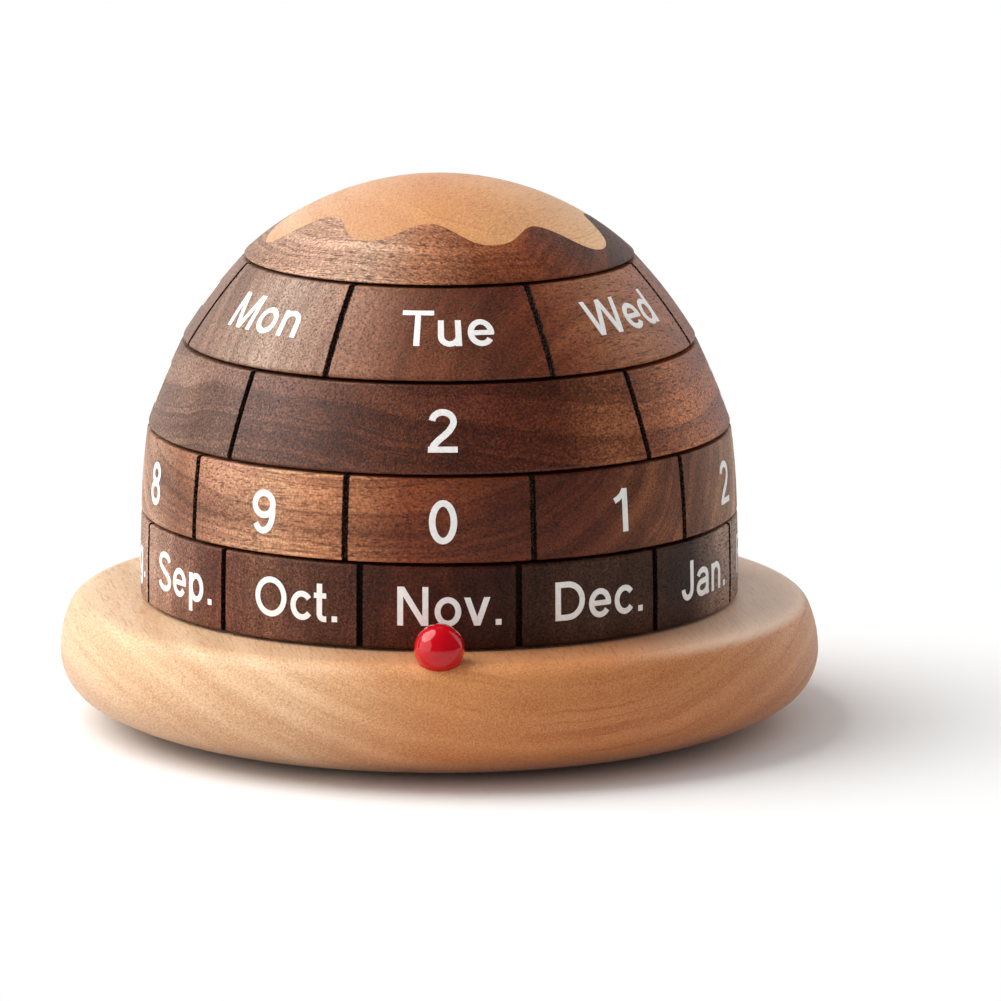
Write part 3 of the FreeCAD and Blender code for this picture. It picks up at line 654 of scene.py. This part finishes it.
# On both boards the ramp across the width is painted light and shade; the foot is paler on the left, darker on
# the right.
foot_beech = beech("foot_beech", 98, (-10, 100), 0.32,
                   [(0.0, (0.98, 1.0, 1.0)), (0.32, (0.96, 0.88, 0.82)), (0.50, (0.95, 0.61, 0.37)),
                    (0.70, (0.83, 0.48, 0.275)), (1.0, (0.81, 0.53, 0.36))], pale=0.75)
inlay_beech = beech("inlay_beech", 68, (30, -120), 0.25, [(0.2, (0.80, 0.74, 0.74)), (0.5, (0.82, 0.54, 0.34)),
                                                         (0.8, (1.0, 0.88, 0.68))])
print("beech boards:", foot_beech.name, inlay_beech.name)

# %% [markdown]
# ## Lacquer and paint
# The bead is dipped in red lacquer, which dries to a thick, clear gloss with a little orange peel. The letters
# are filled with matt white paint, a trace uneven where it has sunk into the pores.

# %% Red lacquer and white paint
lacquer = Finish("red_lacquer", specular_ior_level=0.1, coat_weight=1.0, coat_roughness=0.04, coat_ior=1.45)
cloud = lacquer.noise(lacquer.place(scale=(300, 300, 300)), detail=1.0)
peel = lacquer.noise(lacquer.place(scale=(900, 900, 900)), detail=0.0)
red_lacquer = lacquer.surface(lacquer.mix(cloud, (0.50, 0.0, 0.006), (0.60, 0.003, 0.012)),
                              lacquer.spread(cloud, 0.3, 0.7, 0.16, 0.22), lacquer.bump(peel, 0.000004))

paint = Finish("white_paint")
grit = paint.noise(paint.place(scale=(5000, 5000, 5000)), detail=2.0)
cover = paint.spread(paint.noise(paint.place(scale=(1500, 1500, 1500)), detail=2.0), 0.3, 0.7)
white_paint = paint.surface(paint.mix(cover, (0.88, 0.87, 0.85), (0.96, 0.955, 0.95)),
                            paint.spread(grit, 0.3, 0.7, 0.5, 0.65), paint.bump(grit, 0.00001))
for piece in words:
    piece.data.materials.append(white_paint)
print("words painted:", len(words))

# %% [markdown]
# ## Felt, steel, brass and nylon
# The hidden pieces get finishes too, because a buyer who turns the calendar over sees the felt, and one who
# unscrews the cap sees the brass and steel. Turned metal has fine marks that run round its axis, so these
# patterns read the distance from the spindle's axis and the height.

# %% Turned metal
def turned_metal(name, colour, shade, roughness):
    """Metal with fine marks from the lathe, 4200 to the metre."""
    finish = Finish(name, metallic=1.0)
    profile = finish.add("CombineXYZ", {"X": finish.off_axis(), "Y": finish.coordinate("Z"), "Z": 0.0})
    rings = finish.noise(finish.place(vector=profile, scale=(4200, 4200, 1)), detail=3.0, roughness=0.7)
    cloud = finish.noise(finish.place(scale=(220, 220, 220)), detail=2.0)
    return finish.surface(finish.mix(cloud, colour, shade),
                          finish.spread(rings, 0.25, 0.75, roughness - 0.08, roughness + 0.08),
                          finish.bump(rings, 0.000012))


turned_steel = turned_metal("turned_steel", (0.62, 0.62, 0.63), (0.50, 0.50, 0.51), 0.30)
turned_brass = turned_metal("turned_brass", (0.80, 0.58, 0.25), (0.66, 0.44, 0.17), 0.28)
print("turned metals:", turned_steel.name, turned_brass.name)

# %% Felt and nylon
felt = Finish("wool_felt", sheen_weight=0.5, sheen_roughness=0.6)
hair = felt.noise(felt.place(scale=(2600, 2600, 2600)), detail=3.0, roughness=0.75, distortion=1.5)
patch = felt.noise(felt.place(scale=(180, 180, 180)), detail=2.0)
wool = felt.mix(felt.spread(hair, 0.35, 0.7), (0.055, 0.050, 0.046), (0.20, 0.185, 0.165))
wool_felt = felt.surface(felt.mix(felt.math("MULTIPLY", patch, 0.4), wool, (0.08, 0.072, 0.065)), 0.95,
                         felt.bump(hair, 0.00025))

nylon = Finish("natural_nylon")
milky = nylon.noise(nylon.place(scale=(160, 160, 160)), detail=2.0)
skin = nylon.noise(nylon.place(scale=(3800, 3800, 3800)), detail=2.0)
natural_nylon = nylon.surface(nylon.mix(milky, (0.76, 0.74, 0.67), (0.84, 0.83, 0.78)),
                              nylon.spread(skin, 0.3, 0.7, 0.42, 0.52), nylon.bump(skin, 0.000012))
print("soft finishes:", wool_felt.name, natural_nylon.name)

# %% Every solid takes its finish
FINISHES = dict(WALNUTS)
FINISHES.update({"base": foot_beech, "snow_inlay": inlay_beech, "pointer_bead": red_lacquer,
                 "base_felt": wool_felt, "cap_insert": turned_brass})
for name in ("spindle", "spindle_screw", "spindle_washer", "bead_pin", "top_washer", "wave_washer", "lock_nut"):
    FINISHES[name] = turned_steel
for name in nodes:
    if name.endswith("_bush") or name.endswith("_thrust_washer"):
        FINISHES[name] = natural_nylon
for name, solid in nodes.items():
    for place in solid.material_slots:
        place.material = FINISHES[name]
print("solids finished:", len(FINISHES))

# %% [markdown]
# ## Floor and light
# The calendar stands on a pale floor that meets a white surround. Seen by the camera the floor fades to pure
# white with distance, and near the object it keeps the soft shadow. A large soft lamp on the left and above
# does most of the work. Two weaker ones light the left side and the right-hand rim. The white surround fills
# the rest and shows as a pale sheen at the edges of the dome.

# %% Floor
# In metres: the floor's radius, and the distances from the spindle between which it fades to white.
FLOOR_RADIUS = 3.0
FADE = (0.068, 0.16)
bpy.ops.mesh.primitive_circle_add(vertices=96, radius=FLOOR_RADIUS, fill_type="NGON", location=(0, 0, 0))
floor = bpy.context.object
floor.name = "floor"
ground = Finish("pale_floor", roughness=0.9, specular_ior_level=0.1)
paths = ground.add("LightPath", {}).node.outputs
ground.put(ground.shader.inputs["Base Color"],
           ground.mix(paths["Is Camera Ray"], (0.68, 0.67, 0.65), (0.88, 0.88, 0.88)))
away = ground.add("VectorMath", {0: ground.place()}, "Value", operation="LENGTH")
fade = ground.spread(away, *FADE)
glow = ground.add("Emission", {"Color": (1, 1, 1, 1), "Strength": 1.0})
seen = ground.math("MULTIPLY", fade, paths["Is Camera Ray"])
blend = ground.add("MixShader", {0: seen, 1: ground.shader.outputs[0], 2: glow})
ground.put(ground.tree.nodes["Material Output"].inputs[0], blend)
floor.data.materials.append(ground.material)
bpy.ops.object.select_all(action="DESELECT")
print("floor radius in m:", FLOOR_RADIUS)

# %% Lamps
MID_HEIGHT = 0.045


def lamp(name, place, target, width, power, colour=(1, 1, 1)):
    """A round area lamp that faces its target."""
    bpy.ops.object.light_add(type="AREA", location=place)
    made = bpy.context.object
    made.name = name
    made.data.shape, made.data.size = "DISK", width
    made.data.energy, made.data.color = power, colour
    made.rotation_euler = (Vector(target) - Vector(place)).to_track_quat("-Z", "Y").to_euler()
    return made


lamps = [
    lamp("key_high_left", (-0.80, 0.10, 1.00), (0, 0, 0.05), 1.3, 18.0, (1.0, 0.985, 0.96)),
    lamp("panel_left", (-1.0, -0.35, 0.28), (0, 0, MID_HEIGHT), 1.4, 7.0),
    lamp("rim_right", (0.76, 0.64, 0.48), (0, 0, MID_HEIGHT), 1.2, 2.8, (1.0, 0.97, 0.94)),
]
print("lamps:", ", ".join(made.name for made in lamps))

# %% White surround
# How strongly the surround lights all that isn't seen in a reflection.
AMBIENT = 0.48
world = bpy.data.worlds.new("white_surround")
bpy.context.scene.world = world
world.use_nodes = True
sky = world.node_tree


def sky_math(operation, first, second):
    """One step of arithmetic on two values of the surround, each a number or a socket."""
    made = sky.nodes.new("ShaderNodeMath")
    made.operation = operation
    for socket, value in zip(made.inputs, (first, second)):
        if isinstance(value, bpy.types.NodeSocket):
            sky.links.new(value, socket)
        else:
            socket.default_value = value
    return made.outputs[0]


path = sky.nodes.new("ShaderNodeLightPath").outputs
heading = sky.nodes.new("ShaderNodeSeparateXYZ")
sky.links.new(sky.nodes.new("ShaderNodeTexCoord").outputs["Generated"], heading.inputs[0])


def sky_range(axis, low, high, to_low, to_high):
    """A smooth change of strength along one axis of the direction looked in."""
    made = sky.nodes.new("ShaderNodeMapRange")
    made.interpolation_type = "SMOOTHSTEP"
    sky.links.new(heading.outputs[axis], made.inputs["Value"])
    for label, value in {"From Min": low, "From Max": high, "To Min": to_low, "To Max": to_high}.items():
        made.inputs[label].default_value = value
    return made.outputs[0]


# The glossy surround is white behind the object, dim in front of it and dimmer on the right than on the left.
mirrored = sky_math("MAXIMUM", path["Is Glossy Ray"], path["Is Transmission Ray"])
reflected = sky_math("MULTIPLY", sky_range("Y", 0.3, 0.8, 0.05, 1.0), sky_range("X", -0.3, 0.5, 1.0, 0.4))
strength = sky_math("MAXIMUM", sky_math("MULTIPLY", mirrored, reflected), path["Is Camera Ray"])
background = sky.nodes["Background"]
background.inputs["Color"].default_value = (1, 1, 1, 1)
scattered = sky_math("MULTIPLY", sky_math("SUBTRACT", 1.0, mirrored), AMBIENT)
sky.links.new(sky_math("MAXIMUM", strength, scattered), background.inputs["Strength"])
print("surround:", world.name, "with", len(sky.nodes), "nodes")

# %% [markdown]
# ## Camera
# A long lens from about a metre and a half, a little above the dome, shows the rings as shallow curves. The
# picture is wider than the object, which sits left of its middle, so the lens is shifted rather than turned.

# %% Camera
# The picture's side is in pixels, and so are the focal length and the place of the calendar's middle. The
# sensor is in mm.
PICTURE, SENSOR = 1001, 36
LOOK_DOWN, DISTANCE, FOCAL = math.radians(10.56), 1.478, 8989.0
CENTRE_X, CENTRE_Y = 439.3, 446.4
bpy.ops.object.camera_add(
    location=(0, -DISTANCE * math.cos(LOOK_DOWN), MID_HEIGHT + DISTANCE * math.sin(LOOK_DOWN)),
    rotation=(math.pi / 2 - LOOK_DOWN, 0, 0))
camera = bpy.context.object
camera.name = "camera"
camera.data.sensor_width = SENSOR
camera.data.lens = SENSOR * FOCAL / PICTURE
camera.data.shift_x = (PICTURE / 2 - CENTRE_X) / PICTURE
camera.data.shift_y = (CENTRE_Y - PICTURE / 2) / PICTURE
camera.data.clip_end = 20
bpy.context.scene.camera = camera
bpy.context.scene.view_settings.view_transform = "Standard"
shift = [round(share, 4) for share in (camera.data.shift_x, camera.data.shift_y)]
print("lens", round(camera.data.lens, 1), "mm, shift", shift)

# %% [markdown]
